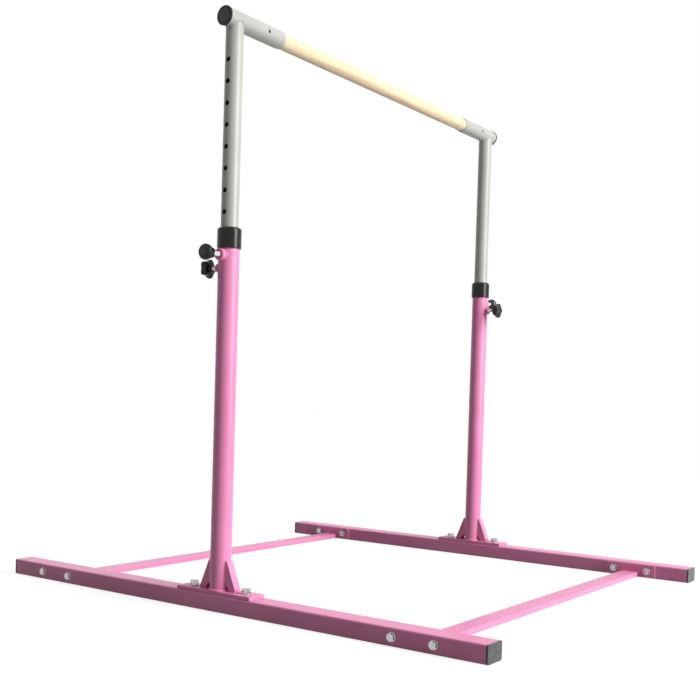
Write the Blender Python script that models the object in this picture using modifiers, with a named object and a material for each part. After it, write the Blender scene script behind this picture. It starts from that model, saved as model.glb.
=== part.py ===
"""Low gymnastics horizontal bar on a bolted floor frame, with two telescopic uprights.

Metres, +Z up. X runs along the bar, Y along the floor rails, and the origin is at the
middle of the footprint on the floor.
"""

import math

import bmesh
import bpy
from mathutils import Matrix, Vector

# Overall layout
UPRIGHT_SPACING = 1.24
RAIL_LENGTH = 1.44
BAR_HEIGHT = 1.375
SEAT_GAP = 0.0003
SIDES = {"left": -1, "right": 1}
ENDS = {"front": -1, "back": 1}

# Floor rails, rectangular tube lying flat
RAIL_WIDTH = 0.060
RAIL_HEIGHT = 0.040
RAIL_WALL = 0.002
RAIL_CORNER = 0.004
CAP_PLATE = 0.004
CAP_PLUG = 0.018
PLUG_CLEARANCE = 0.0004

# Cross tubes and the plates welded to their ends
CROSS_Y = 0.550
CROSS_WIDTH = 0.050
CROSS_HEIGHT = 0.013
CROSS_BOTTOM = 0.0025
CROSS_WALL = 0.0015
PLATE_LENGTH = 0.148
PLATE_HEIGHT = 0.036
PLATE_THICK = 0.004
PLATE_BOLT_SPACING = 0.100
PLATE_BOLT_Z = 0.021

# Bolts
M10_SHANK = 0.010
M10_HOLE = 0.011
M10_FLATS = 0.016
M10_HEAD = 0.0064
M10_NUT = 0.008
M10_WASHER = 0.020
M12_SHANK = 0.012
M12_HOLE = 0.013
M12_FLATS = 0.018
M12_HEAD = 0.0105
M12_WASHER = 0.023
WASHER_THICK = 0.002

# Post foot
FLANGE_LENGTH = 0.226
FLANGE_WIDTH = 0.054
FLANGE_THICK = 0.008
FLANGE_BOLT_Y = 0.081
GUSSET_WIDTH = 0.020
GUSSET_REACH = 0.030
GUSSET_HEIGHT = 0.070
GUSSET_LIP = 0.004
GUSSET_SHEET = 0.003
GUSSET_ROOT = 0.015
CUT_OVERRUN = 0.010
GUSSET_NOTCH_REACH = 0.010
GUSSET_NOTCH_HEIGHT = 0.016

# Telescopic uprights
POST_DIAMETER = 0.050
POST_WALL = 0.002
COLLAR_DIAMETER = 0.057
COLLAR_BOTTOM = 0.846
COLLAR_HEIGHT = 0.049
COLLAR_CHAMFER = 0.004
POST_INTO_COLLAR = 0.038
TUBE_DIAMETER = 0.042
TUBE_WALL = 0.002
TUBE_BOTTOM = 0.560
TUBE_CLEARANCE = 0.0006
TUBE_TOP_DROP = 0.005
HOLE_PITCH = 0.050
HOLE_COUNT = 13
PIN_HOLE_INDEX = 9
PIN_Z = 0.830
PIN_DIAMETER = 0.0105
PIN_HOLE = 0.0122

# Pull pin, measured outward from the tube axis
BOSS_DIAMETER = 0.028
BOSS_ROOT = 0.015
PIN_BOSS_FACE = 0.035
BARREL_DIAMETER = 0.018
BARREL_START_GAP = 0.0008
BARREL_END = 0.066
PIN_TIP_CLEARANCE = 0.0007
PIN_KNOB_BACK = 0.060
PIN_KNOB_FACE = 0.088
PIN_KNOB_DIAMETER = 0.037
PIN_KNOB_BORE = 0.019
PIN_KNOB_CHAMFER = 0.005
PIN_KNOB_RIM = 0.012
PIN_KNOB_TAPER = 0.006
PIN_CHAMFER = 0.001
PIN_KNOB_FLOOR = 0.076

# Clamp screw with its star knob, measured outward from the tube axis
CLAMP_Z = 0.803
CLAMP_BOSS_FACE = 0.033
CLAMP_BOSS_DIAMETER = 0.022
CLAMP_SCREW = 0.010
CLAMP_BORE = 0.0108
CLAMP_PAD_TIP_CLEARANCE = 0.0005
CLAMP_PAD_THICK = 0.0024
CLAMP_PAD_DIAMETER = 0.0085
STAR_BACK = 0.052
STAR_FACE = 0.074
STAR_RADIUS = 0.024
STAR_WAIST = 0.018
STAR_LOBES = 5
STAR_NECK = 0.009

# Top of the uprights
SOCKET_DIAMETER = 0.043
SOCKET_BORE = 0.0392
SOCKET_OUTER = 0.034
SOCKET_MOUTH = 0.165
SOCKET_CAP_DIAMETER = 0.046
SOCKET_CAP_THICK = 0.0037
SOCKET_CAP_PLUG = 0.012
WOOD_DIAMETER = 0.038
WOOD_END = 0.030
SET_SCREW = 0.006
SET_SCREW_PROUD = 0.0008
SET_SCREW_OFFSET = {"left": 0.100, "right": 0.060}

# Facets
ROUND = 24
SMALL_ROUND = 10
HOLE_ROUND = 8
CORNER_STEPS = 2

FLANGE_BASE = RAIL_HEIGHT + SEAT_GAP
FLANGE_TOP = FLANGE_BASE + FLANGE_THICK
POST_BASE = FLANGE_TOP + SEAT_GAP
POST_TOP = COLLAR_BOTTOM + POST_INTO_COLLAR - SEAT_GAP
COLLAR_TOP = COLLAR_BOTTOM + COLLAR_HEIGHT
TUBE_RADIUS = TUBE_DIAMETER / 2
POST_RADIUS = POST_DIAMETER / 2


def clear_scene():
    for obj in list(bpy.data.objects):
        bpy.data.objects.remove(obj)


def new_collection(name, hidden=False):
    collection = bpy.data.collections.new(name)
    collection.hide_render = hidden
    bpy.context.scene.collection.children.link(collection)
    return collection


def new_material(name, color, metallic, roughness):
    material = bpy.data.materials.new(name)
    material.use_nodes = True
    shader = material.node_tree.nodes["Principled BSDF"]
    shader.inputs["Base Color"].default_value = (*color, 1.0)
    shader.inputs["Metallic"].default_value = metallic
    shader.inputs["Roughness"].default_value = roughness
    material.diffuse_color = (*color, 1.0)
    return material


clear_scene()
PART = new_collection("horizontal_bar")
CUTTERS = new_collection("cutters", hidden=True)
PINK = new_material("pink_powder_coat", (0.71, 0.29, 0.47), 0.0, 0.35)
SILVER = new_material("silver_paint", (0.42, 0.42, 0.40), 0.5, 0.35)
BLACK = new_material("black_plastic", (0.012, 0.012, 0.012), 0.0, 0.4)
ZINC = new_material("zinc_steel", (0.62, 0.62, 0.62), 1.0, 0.3)
CHROME = new_material("chrome_steel", (0.75, 0.75, 0.75), 1.0, 0.12)
WOOD = new_material("beech_wood", (0.80, 0.60, 0.36), 0.0, 0.5)


def add_object(name, mesh, material, smooth=False):
    """Link a finished mesh as one sub-part, or as a cutter where there is no material."""
    obj = bpy.data.objects.new(name, mesh)
    if material is None:
        CUTTERS.objects.link(obj)
        obj.hide_render = True
        obj.display_type = "WIRE"
        return obj
    PART.objects.link(obj)
    mesh.materials.append(material)
    if smooth:
        mesh.shade_smooth()
        mesh.set_sharp_from_angle(angle=math.radians(40))
    return obj


def frame_along(axis, centre):
    """Matrix that turns local +Z to the axis and moves the origin to the centre."""
    turn = Vector((0, 0, 1)).rotation_difference(Vector(axis)).to_matrix().to_4x4()
    return Matrix.Translation(centre) @ turn


def round_bar(name, material, radius, start, end, axis, centre, segments=ROUND):
    """Solid cylinder from start to end along the axis through the centre."""
    mesh = bpy.data.meshes.new(name)
    shape = bmesh.new()
    bmesh.ops.create_cone(
        shape,
        cap_ends=True,
        segments=segments,
        radius1=radius,
        radius2=radius,
        depth=end - start,
        matrix=Matrix.Translation((0, 0, (start + end) / 2)),
    )
    shape.transform(frame_along(axis, centre))
    shape.to_mesh(mesh)
    shape.free()
    return add_object(name, mesh, material, smooth=True)


def drill(name, diameter, start, end, axis, centre, segments=SMALL_ROUND):
    """Cutter for a round hole, whose flats lie at the full radius so that a pin clears them."""
    radius = diameter / 2 / math.cos(math.pi / segments)
    return round_bar(name, None, radius, start, end, axis, centre, segments)


def box(name, material, low, high):
    mesh = bpy.data.meshes.new(name)
    shape = bmesh.new()
    bmesh.ops.create_cube(shape, size=1)
    size = Vector(high) - Vector(low)
    shape.transform(Matrix.Translation((Vector(low) + Vector(high)) / 2) @ Matrix.Diagonal((*size, 1)))
    shape.to_mesh(mesh)
    shape.free()
    return add_object(name, mesh, material)


def prism(name, material, outline, start, end, matrix):
    """Flat outline in local XY, extruded along local Z from start to end."""
    mesh = bpy.data.meshes.new(name)
    shape = bmesh.new()
    bottom = shape.faces.new([shape.verts.new((x, y, start)) for x, y in outline])
    grown = bmesh.ops.extrude_face_region(shape, geom=[bottom])
    raised = [item for item in grown["geom"] if isinstance(item, bmesh.types.BMVert)]
    bmesh.ops.translate(shape, verts=raised, vec=(0, 0, end - start))
    shape.transform(matrix)
    bmesh.ops.recalc_face_normals(shape, faces=shape.faces)
    if shape.calc_volume(signed=True) < 0:
        bmesh.ops.reverse_faces(shape, faces=shape.faces)
    shape.to_mesh(mesh)
    shape.free()
    return add_object(name, mesh, material)


def turned(name, material, profile, axis, centre, segments=ROUND):
    """Closed (radius, height) profile turned about the axis by a Screw modifier."""
    mesh = bpy.data.meshes.new(name)
    shape = bmesh.new()
    corners = [shape.verts.new((radius, 0, height)) for radius, height in profile]
    on_axis = profile[0][0] == 0 and profile[-1][0] == 0
    pairs = list(zip(corners, corners[1:]))
    if not on_axis:
        pairs.append((corners[-1], corners[0]))
    for first, second in pairs:
        shape.edges.new((first, second))
    shape.to_mesh(mesh)
    shape.free()
    obj = add_object(name, mesh, material)
    obj.matrix_world = frame_along(axis, centre)
    screw = obj.modifiers.new("turn", "SCREW")
    screw.steps = segments
    screw.render_steps = segments
    screw.use_merge_vertices = True
    screw.merge_threshold = 0.00001
    screw.use_smooth_shade = True
    return obj


def boolean(obj, other, operation):
    modifier = obj.modifiers.new(operation.lower(), "BOOLEAN")
    modifier.operation = operation
    modifier.solver = "EXACT"
    modifier.object = other


def cut(obj, cutter):
    boolean(obj, cutter, "DIFFERENCE")


def rounded_rectangle(width, height, radius, steps=CORNER_STEPS):
    """Outline with round corners, anticlockwise from the lower right corner."""
    points = []
    centres = ((1, -1, -90), (1, 1, 0), (-1, 1, 90), (-1, -1, 180))
    for across, up, first in centres:
        for step in range(steps + 1):
            angle = math.radians(first + 90 * step / steps)
            x = across * (width / 2 - radius) + radius * math.cos(angle)
            y = up * (height / 2 - radius) + radius * math.sin(angle)
            points.append((x, y))
    return points


def hexagon(flats):
    radius = flats / math.sqrt(3)
    return [(radius * math.cos(k * math.pi / 3), radius * math.sin(k * math.pi / 3)) for k in range(6)]


def star_outline():
    """Lobed outline of the star knob, from a cosine between the waist and the lobe tips."""
    middle = (STAR_RADIUS + STAR_WAIST) / 2
    swing = (STAR_RADIUS - STAR_WAIST) / 2
    count = 6 * STAR_LOBES
    points = []
    for k in range(count):
        angle = 2 * math.pi * k / count
        radius = middle + swing * math.cos(STAR_LOBES * angle)
        points.append((radius * math.cos(angle), radius * math.sin(angle)))
    return points


# Local X runs along world Y, local Y along world Z and local Z along world X
ACROSS_X = Matrix(((0, 0, 1, 0), (1, 0, 0, 0), (0, 1, 0, 0), (0, 0, 0, 1)))
# Local X runs along world X, local Y along world Z and local Z against world Y
ALONG_Y = Matrix(((1, 0, 0, 0), (0, 0, -1, 0), (0, 1, 0, 0), (0, 0, 0, 1)))


def rail_frame(x):
    """Local frame of a rail's cross section: X across, Y up, Z against world Y."""
    return Matrix.Translation((x, 0, RAIL_HEIGHT / 2)) @ ALONG_Y


def plate_bolt_places():
    for end, sign in ENDS.items():
        for place, offset in (("outer", 0.5), ("inner", -0.5)):
            yield end, place, sign * (CROSS_Y + offset * PLATE_BOLT_SPACING)


def bolt_holes(prefix, x_low, x_high):
    """Cutters for the plate bolts, from x_low to x_high."""
    for end, place, y in plate_bolt_places():
        name = f"cut_{prefix}_{end}_{place}"
        start = (0, y, PLATE_BOLT_Z)
        yield end, drill(name, M10_HOLE, x_low, x_high, (1, 0, 0), start)


def build_rail(side, sign):
    x = sign * UPRIGHT_SPACING / 2
    half = RAIL_LENGTH / 2 - CAP_PLATE - SEAT_GAP
    inner_size = (RAIL_WIDTH - 2 * RAIL_WALL, RAIL_HEIGHT - 2 * RAIL_WALL, RAIL_CORNER - RAIL_WALL)
    outline = rounded_rectangle(RAIL_WIDTH, RAIL_HEIGHT, RAIL_CORNER)
    rail = prism(f"base_rail_{side}", PINK, outline, -half, half, rail_frame(x))
    hollow = prism(
        f"cut_rail_{side}",
        None,
        rounded_rectangle(*inner_size),
        -RAIL_LENGTH,
        RAIL_LENGTH,
        rail_frame(x),
    )
    cut(rail, hollow)
    for _, hole in bolt_holes(f"rail_{side}", x - RAIL_WIDTH, x + RAIL_WIDTH):
        cut(rail, hole)
    for end, end_sign in ENDS.items():
        centre = (x, end_sign * FLANGE_BOLT_Y, 0)
        name = f"cut_rail_top_{side}_{end}"
        cut(rail, drill(name, M12_HOLE, RAIL_HEIGHT / 2, RAIL_HEIGHT * 1.5, (0, 0, 1), centre))
        build_rail_cap(side, x, end, end_sign)


def build_rail_cap(side, x, end, end_sign):
    """Square plastic plug with a cover plate over the end of the tube."""
    plate_outer = RAIL_LENGTH / 2
    plate_inner = plate_outer - CAP_PLATE
    plug_inner = plate_inner - CAP_PLUG
    slack = 2 * (RAIL_WALL + PLUG_CLEARANCE)
    plug_size = (RAIL_WIDTH - slack, RAIL_HEIGHT - slack, RAIL_CORNER - RAIL_WALL)
    # Local Z of the rail frame runs against world Y
    plate_span = sorted((-end_sign * plate_inner, -end_sign * plate_outer))
    plug_span = sorted((-end_sign * plug_inner, -end_sign * (plate_inner + CAP_PLATE / 2)))
    cap = prism(
        f"rail_cap_{side}_{end}",
        BLACK,
        rounded_rectangle(RAIL_WIDTH, RAIL_HEIGHT, RAIL_CORNER),
        *plate_span,
        rail_frame(x),
    )
    plug = prism(
        f"plug_{side}_{end}", None, rounded_rectangle(*plug_size), *plug_span, rail_frame(x)
    )
    boolean(cap, plug, "UNION")


def build_cross_member(end, sign):
    """Low flat tube between the rails, with a bolted plate on each end."""
    inner_face = UPRIGHT_SPACING / 2 - RAIL_WIDTH / 2 - SEAT_GAP
    plate_face = inner_face - PLATE_THICK
    tube_end = plate_face - SEAT_GAP
    centre = Matrix.Translation((0, sign * CROSS_Y, CROSS_BOTTOM + CROSS_HEIGHT / 2)) @ ACROSS_X
    outline = rounded_rectangle(CROSS_WIDTH, CROSS_HEIGHT, CROSS_WALL * 1.6)
    tube = prism(f"cross_tube_{end}", PINK, outline, -tube_end, tube_end, centre)
    inside = rounded_rectangle(
        CROSS_WIDTH - 2 * CROSS_WALL, CROSS_HEIGHT - 2 * CROSS_WALL, CROSS_WALL * 0.6
    )
    cut(tube, prism(f"cut_cross_{end}", None, inside, -1, 1, centre))
    for side, side_sign in SIDES.items():
        span = sorted((side_sign * plate_face, side_sign * inner_face))
        middle_z = CROSS_BOTTOM / 2 + PLATE_HEIGHT / 2
        place = Matrix.Translation((0, sign * CROSS_Y, middle_z)) @ ACROSS_X
        plate = prism(
            f"cross_plate_{side}_{end}",
            PINK,
            rounded_rectangle(PLATE_LENGTH, PLATE_HEIGHT, RAIL_CORNER),
            *span,
            place,
        )
        for hole_end, hole in bolt_holes(f"plate_{side}_{end}", span[0] - CUT_OVERRUN, span[1] + CUT_OVERRUN):
            if hole_end == end:
                cut(plate, hole)


def build_bolt(name, shank, flats, washer, levels, axis, centre):
    """Hexagon bolt with washers and nut. Levels run along the axis from head top to nut end."""
    head_top, head_base, washer_face, nut_washer_face, nut_base, nut_end = levels
    washer_radius = washer / 2
    profile = [
        (0, head_base + 0.001),
        (shank / 2, head_base + 0.001),
        (shank / 2, head_base),
        (washer_radius, head_base),
        (washer_radius, washer_face),
        (shank / 2, washer_face),
        (shank / 2, nut_washer_face),
        (washer_radius, nut_washer_face),
        (washer_radius, nut_base),
        (shank / 2, nut_base),
        (shank / 2, nut_end - 0.001),
        (0, nut_end - 0.001),
    ]
    bolt = turned(name, ZINC, profile, axis, centre, SMALL_ROUND)
    matrix = frame_along(axis, centre)
    head = prism(f"head_{name}", None, hexagon(flats), head_base - 0.0002, head_top, matrix)
    nut = prism(f"nut_{name}", None, hexagon(flats), nut_end, nut_base + 0.0002, matrix)
    boolean(bolt, head, "UNION")
    boolean(bolt, nut, "UNION")
    return bolt


def build_plate_bolts(side, sign):
    """Bolts through a rail and the cross plates, heads on the outer face."""
    rail_outer = UPRIGHT_SPACING / 2 + RAIL_WIDTH / 2
    plate_inner = UPRIGHT_SPACING / 2 - RAIL_WIDTH / 2 - SEAT_GAP - PLATE_THICK
    washer_face = rail_outer + SEAT_GAP
    head_base = washer_face + WASHER_THICK
    nut_washer_face = plate_inner - SEAT_GAP
    nut_base = nut_washer_face - WASHER_THICK
    levels = (
        head_base + M10_HEAD,
        head_base,
        washer_face,
        nut_washer_face,
        nut_base,
        nut_base - M10_NUT,
    )
    for end, place, y in plate_bolt_places():
        name = f"plate_bolt_{side}_{end}_{place}"
        build_bolt(name, M10_SHANK, M10_FLATS, M10_WASHER, levels, (sign, 0, 0), (0, y, PLATE_BOLT_Z))


def build_post(side, sign):
    x = sign * UPRIGHT_SPACING / 2
    flange = box(
        f"foot_flange_{side}",
        PINK,
        (x - FLANGE_WIDTH / 2, -FLANGE_LENGTH / 2, FLANGE_BASE),
        (x + FLANGE_WIDTH / 2, FLANGE_LENGTH / 2, FLANGE_TOP),
    )
    for end, end_sign in ENDS.items():
        centre = (x, end_sign * FLANGE_BOLT_Y, 0)
        cut(flange, drill(f"cut_flange_{side}_{end}", M12_HOLE, 0, 0.1, (0, 0, 1), centre))
        washer_face = FLANGE_TOP + SEAT_GAP
        head_base = washer_face + WASHER_THICK
        nut_washer_face = RAIL_HEIGHT - RAIL_WALL - SEAT_GAP
        nut_base = nut_washer_face - WASHER_THICK
        levels = (
            head_base + M12_HEAD,
            head_base,
            washer_face,
            nut_washer_face,
            nut_base,
            nut_base - M12_HEAD,
        )
        name = f"foot_bolt_{side}_{end}"
        build_bolt(name, M12_SHANK, M12_FLATS, M12_WASHER, levels, (0, 0, 1), centre)
        build_gusset(side, x, end, end_sign)
    inner = POST_RADIUS - POST_WALL
    profile = [(POST_RADIUS, POST_TOP), (POST_RADIUS, POST_BASE), (inner, POST_BASE), (inner, POST_TOP)]
    post = turned(f"lower_post_{side}", PINK, profile, (0, 0, 1), (x, 0, 0))
    cut(post, drill(f"cut_post_pin_{side}", PIN_HOLE, 0, 0.05, (sign, 0, 0), (x, 0, PIN_Z)))
    cut(post, drill(f"cut_post_clamp_{side}", CLAMP_BORE, 0, 0.05, (0, -sign, 0), (x, 0, CLAMP_Z)))


def build_gusset(side, x, end, end_sign):
    """Folded sheet gusset: two triangular cheeks joined by a sloping web, open to the post."""
    base = FLANGE_TOP + SEAT_GAP
    top = base + GUSSET_HEIGHT
    outer = POST_RADIUS + GUSSET_REACH
    apex = POST_RADIUS + GUSSET_SHEET
    outline = [
        (GUSSET_ROOT, base),
        (outer, base),
        (outer, base + GUSSET_LIP),
        (apex, top),
        (GUSSET_ROOT, top),
    ]
    inner_root = GUSSET_ROOT - CUT_OVERRUN / 2
    low = base - CUT_OVERRUN
    # The web is one sheet thick, measured across its slope
    slope = math.atan2(outer - apex, GUSSET_HEIGHT - GUSSET_LIP)
    inset = GUSSET_SHEET / math.cos(slope)
    inside = [
        (inner_root, low),
        (outer - inset + 0.0001, low),
        (outer - inset, base + GUSSET_LIP),
        (apex - inset, top),
        (inner_root, top + CUT_OVERRUN),
    ]
    matrix = Matrix.Translation((x, 0, 0)) @ Matrix.Diagonal((1, end_sign, 1, 1)) @ ACROSS_X
    half = GUSSET_WIDTH / 2
    name = f"gusset_{side}_{end}"
    gusset = prism(name, PINK, outline, -half, half, matrix)
    hollow_half = half - GUSSET_SHEET
    cut(gusset, prism(f"cut_{name}", None, inside, -hollow_half, hollow_half, matrix))
    clear = POST_RADIUS + SEAT_GAP
    cut(gusset, round_bar(f"cut_post_{name}", None, clear, 0, 0.5, (0, 0, 1), (x, 0, 0)))
    notch_outer = POST_RADIUS + GUSSET_NOTCH_REACH
    notch = [
        (inner_root, low),
        (notch_outer, low),
        (notch_outer, base + GUSSET_NOTCH_HEIGHT / 3),
        (POST_RADIUS, base + GUSSET_NOTCH_HEIGHT),
        (inner_root, base + GUSSET_NOTCH_HEIGHT),
    ]
    cut(gusset, prism(f"notch_{name}", None, notch, -GUSSET_WIDTH, GUSSET_WIDTH, matrix))


def build_collar(side, x):
    """Plastic bush over the post end that guides the sliding tube."""
    outer = COLLAR_DIAMETER / 2
    lip = outer - COLLAR_CHAMFER
    guide = TUBE_RADIUS + TUBE_CLEARANCE
    shoulder = POST_RADIUS + SEAT_GAP
    shelf = COLLAR_BOTTOM + POST_INTO_COLLAR
    profile = [
        (lip, COLLAR_TOP),
        (outer - 0.001, COLLAR_TOP - 0.0025),
        (outer, COLLAR_TOP - COLLAR_CHAMFER),
        (outer, COLLAR_BOTTOM),
        (shoulder, COLLAR_BOTTOM),
        (shoulder, shelf),
        (guide, shelf),
        (guide, COLLAR_TOP),
    ]
    turned(f"collar_{side}", BLACK, profile, (0, 0, 1), (x, 0, 0))


def build_upper_tube(side, sign):
    """Sliding tube with its row of pin holes on the outer face."""
    x = sign * UPRIGHT_SPACING / 2
    inner = TUBE_RADIUS - TUBE_WALL
    top = BAR_HEIGHT - TUBE_TOP_DROP
    profile = [(TUBE_RADIUS, top), (TUBE_RADIUS, TUBE_BOTTOM), (inner, TUBE_BOTTOM), (inner, top)]
    tube = turned(f"upper_tube_{side}", SILVER, profile, (0, 0, 1), (x, 0, 0))
    saddle_radius = SOCKET_DIAMETER / 2 + SEAT_GAP
    saddle = round_bar(f"cut_saddle_{side}", None, saddle_radius, -1, 1, (1, 0, 0), (0, 0, BAR_HEIGHT))
    cut(tube, saddle)
    top_hole = PIN_Z + PIN_HOLE_INDEX * HOLE_PITCH
    for k in range(HOLE_COUNT):
        centre = (x, 0, top_hole - k * HOLE_PITCH)
        name = f"cut_tube_{side}_{k}"
        cut(tube, drill(name, PIN_HOLE, 0, 0.05, (sign, 0, 0), centre, HOLE_ROUND))


def saddle_boss(name, diameter, bore, face, axis, centre):
    """Short round boss seated on the post, bored through for the pin or the screw."""
    boss = round_bar(name, PINK, diameter / 2, BOSS_ROOT, face, axis, centre)
    seat = POST_RADIUS + SEAT_GAP
    cut(boss, round_bar(f"cut_seat_{name}", None, seat, 0, 2, (0, 0, 1), (centre[0], centre[1], 0)))
    cut(boss, drill(f"cut_bore_{name}", bore, 0, 0.1, axis, centre))


def build_pull_pin(side, sign):
    """Plunger in a chrome barrel, with a round knob pulled outward to free the tube."""
    axis = (sign, 0, 0)
    centre = (sign * UPRIGHT_SPACING / 2, 0, PIN_Z)
    barrel_radius = BARREL_DIAMETER / 2
    saddle_boss(
        f"pin_boss_{side}",
        BOSS_DIAMETER,
        BARREL_DIAMETER + 2 * SEAT_GAP,
        PIN_BOSS_FACE,
        axis,
        centre,
    )
    barrel_start = POST_RADIUS + BARREL_START_GAP
    bore = PIN_HOLE / 2
    barrel_profile = [
        (barrel_radius - PIN_CHAMFER, BARREL_END),
        (barrel_radius, BARREL_END - PIN_CHAMFER),
        (barrel_radius, barrel_start),
        (bore, barrel_start),
        (bore, BARREL_END),
    ]
    turned(f"pin_barrel_{side}", CHROME, barrel_profile, axis, centre, SMALL_ROUND + 4)
    tip = TUBE_RADIUS + PIN_TIP_CLEARANCE
    pin_radius = PIN_DIAMETER / 2
    pin_profile = [
        (0, PIN_KNOB_FLOOR - SEAT_GAP),
        (pin_radius, PIN_KNOB_FLOOR - SEAT_GAP),
        (pin_radius, tip + PIN_CHAMFER),
        (pin_radius - PIN_CHAMFER, tip),
        (0, tip),
    ]
    turned(f"pull_pin_{side}", ZINC, pin_profile, axis, centre, SMALL_ROUND)
    knob_radius = PIN_KNOB_DIAMETER / 2
    knob_bore = PIN_KNOB_BORE / 2
    knob_profile = [
        (0, PIN_KNOB_FACE),
        (knob_radius - PIN_KNOB_CHAMFER, PIN_KNOB_FACE),
        (knob_radius, PIN_KNOB_FACE - PIN_KNOB_CHAMFER),
        (knob_radius, PIN_KNOB_FACE - PIN_KNOB_RIM),
        (knob_radius - PIN_KNOB_TAPER, PIN_KNOB_BACK),
        (knob_bore, PIN_KNOB_BACK),
        (knob_bore, PIN_KNOB_FLOOR),
        (0, PIN_KNOB_FLOOR),
    ]
    turned(f"pin_knob_{side}", BLACK, knob_profile, axis, centre)


def build_clamp(side, sign):
    """Screw with a star knob that presses a small pad on the sliding tube."""
    axis = (0, -sign, 0)
    centre = (sign * UPRIGHT_SPACING / 2, 0, CLAMP_Z)
    saddle_boss(f"clamp_boss_{side}", CLAMP_BOSS_DIAMETER, CLAMP_BORE, CLAMP_BOSS_FACE, axis, centre)
    pad_tip = TUBE_RADIUS + CLAMP_PAD_TIP_CLEARANCE
    pad_back = pad_tip + CLAMP_PAD_THICK
    pad_radius = CLAMP_PAD_DIAMETER / 2
    pad_profile = [(0, pad_back), (pad_radius, pad_back), (pad_radius, pad_tip), (0, pad_tip)]
    turned(f"clamp_pad_{side}", ZINC, pad_profile, axis, centre, SMALL_ROUND)
    screw_start = pad_back + SEAT_GAP
    screw_end = STAR_BACK - STAR_NECK / 3
    screw_radius = CLAMP_SCREW / 2
    screw_profile = [
        (0, screw_end),
        (screw_radius, screw_end),
        (screw_radius, screw_start + 0.001),
        (screw_radius - 0.001, screw_start),
        (0, screw_start),
    ]
    turned(f"clamp_screw_{side}", ZINC, screw_profile, axis, centre, SMALL_ROUND)
    knob = prism(
        f"star_knob_{side}",
        BLACK,
        star_outline(),
        STAR_BACK + STAR_NECK / 2,
        STAR_FACE,
        frame_along(axis, centre),
    )
    bevel = knob.modifiers.new("soft_rim", "BEVEL")
    bevel.width = 0.002
    bevel.segments = 1
    bevel.limit_method = "ANGLE"
    bevel.angle_limit = math.radians(60)
    neck = round_bar(
        f"neck_{side}",
        None,
        STAR_NECK,
        screw_end + SEAT_GAP,
        STAR_BACK + STAR_NECK,
        axis,
        centre,
        SMALL_ROUND,
    )
    boolean(knob, neck, "UNION")


def build_bar_end(side, sign):
    """Socket tube on top of an upright, with its end cap and set screw."""
    axis = (sign, 0, 0)
    centre = (sign * UPRIGHT_SPACING / 2, 0, BAR_HEIGHT)
    outer = SOCKET_DIAMETER / 2
    bore = SOCKET_BORE / 2
    profile = [
        (outer - 0.0005, SOCKET_OUTER),
        (outer, SOCKET_OUTER - 0.0005),
        (outer, -SOCKET_MOUTH + 0.0005),
        (outer - 0.0005, -SOCKET_MOUTH),
        (bore, -SOCKET_MOUTH),
        (bore, SOCKET_OUTER),
    ]
    socket = turned(f"bar_socket_{side}", SILVER, profile, axis, centre)
    screw_centre = (centre[0] - sign * SET_SCREW_OFFSET[side], 0, BAR_HEIGHT)
    hole_diameter = SET_SCREW + 2 * SEAT_GAP
    cut(socket, drill(f"cut_set_{side}", hole_diameter, 0, 0.05, (0, -1, 0), screw_centre, HOLE_ROUND))
    wood_radius = WOOD_DIAMETER / 2
    round_bar(
        f"set_screw_{side}",
        ZINC,
        SET_SCREW / 2,
        wood_radius + SEAT_GAP,
        outer + SET_SCREW_PROUD,
        (0, -1, 0),
        screw_centre,
        HOLE_ROUND,
    )
    cap_radius = SOCKET_CAP_DIAMETER / 2
    plug_radius = bore - PLUG_CLEARANCE
    cap_base = SOCKET_OUTER + SEAT_GAP
    cap_face = cap_base + SOCKET_CAP_THICK
    cap_profile = [
        (0, cap_face),
        (cap_radius - 0.0015, cap_face),
        (cap_radius, cap_face - 0.0015),
        (cap_radius, cap_base),
        (plug_radius, cap_base),
        (plug_radius, cap_base - SOCKET_CAP_PLUG),
        (0, cap_base - SOCKET_CAP_PLUG),
    ]
    turned(f"socket_cap_{side}", BLACK, cap_profile, axis, centre)


def build_wood_bar():
    half = UPRIGHT_SPACING / 2 - WOOD_END
    radius = WOOD_DIAMETER / 2
    round_bar("wood_bar", WOOD, radius, -half, half, (1, 0, 0), (0, 0, BAR_HEIGHT), ROUND)


for side_name, side_sign in SIDES.items():
    upright_x = side_sign * UPRIGHT_SPACING / 2
    build_rail(side_name, side_sign)
    build_plate_bolts(side_name, side_sign)
    build_post(side_name, side_sign)
    build_collar(side_name, upright_x)
    build_upper_tube(side_name, side_sign)
    build_pull_pin(side_name, side_sign)
    build_clamp(side_name, side_sign)
    build_bar_end(side_name, side_sign)
for end_name, end_sign_value in ENDS.items():
    build_cross_member(end_name, end_sign_value)
build_wood_bar()
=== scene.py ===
import math
from collections import namedtuple

import bmesh
import bpy
from mathutils import Matrix, Vector


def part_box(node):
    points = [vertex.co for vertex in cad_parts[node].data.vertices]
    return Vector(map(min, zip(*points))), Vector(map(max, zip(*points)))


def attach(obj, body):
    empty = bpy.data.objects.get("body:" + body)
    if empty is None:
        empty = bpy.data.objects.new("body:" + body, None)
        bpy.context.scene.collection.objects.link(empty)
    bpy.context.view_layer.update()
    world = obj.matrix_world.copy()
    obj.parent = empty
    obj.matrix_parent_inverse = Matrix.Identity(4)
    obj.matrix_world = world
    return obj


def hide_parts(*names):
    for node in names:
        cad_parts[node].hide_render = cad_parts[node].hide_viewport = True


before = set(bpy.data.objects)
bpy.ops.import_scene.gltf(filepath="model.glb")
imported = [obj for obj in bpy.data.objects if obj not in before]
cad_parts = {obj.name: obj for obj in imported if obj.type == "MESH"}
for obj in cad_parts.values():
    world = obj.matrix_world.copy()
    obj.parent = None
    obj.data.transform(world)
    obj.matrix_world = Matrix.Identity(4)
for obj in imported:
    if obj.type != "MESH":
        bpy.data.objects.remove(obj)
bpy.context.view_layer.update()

SIDES = {"left": -1, "right": 1}
ENDS = {"front": -1, "back": 1}
UP = (0, 0, 1)

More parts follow.
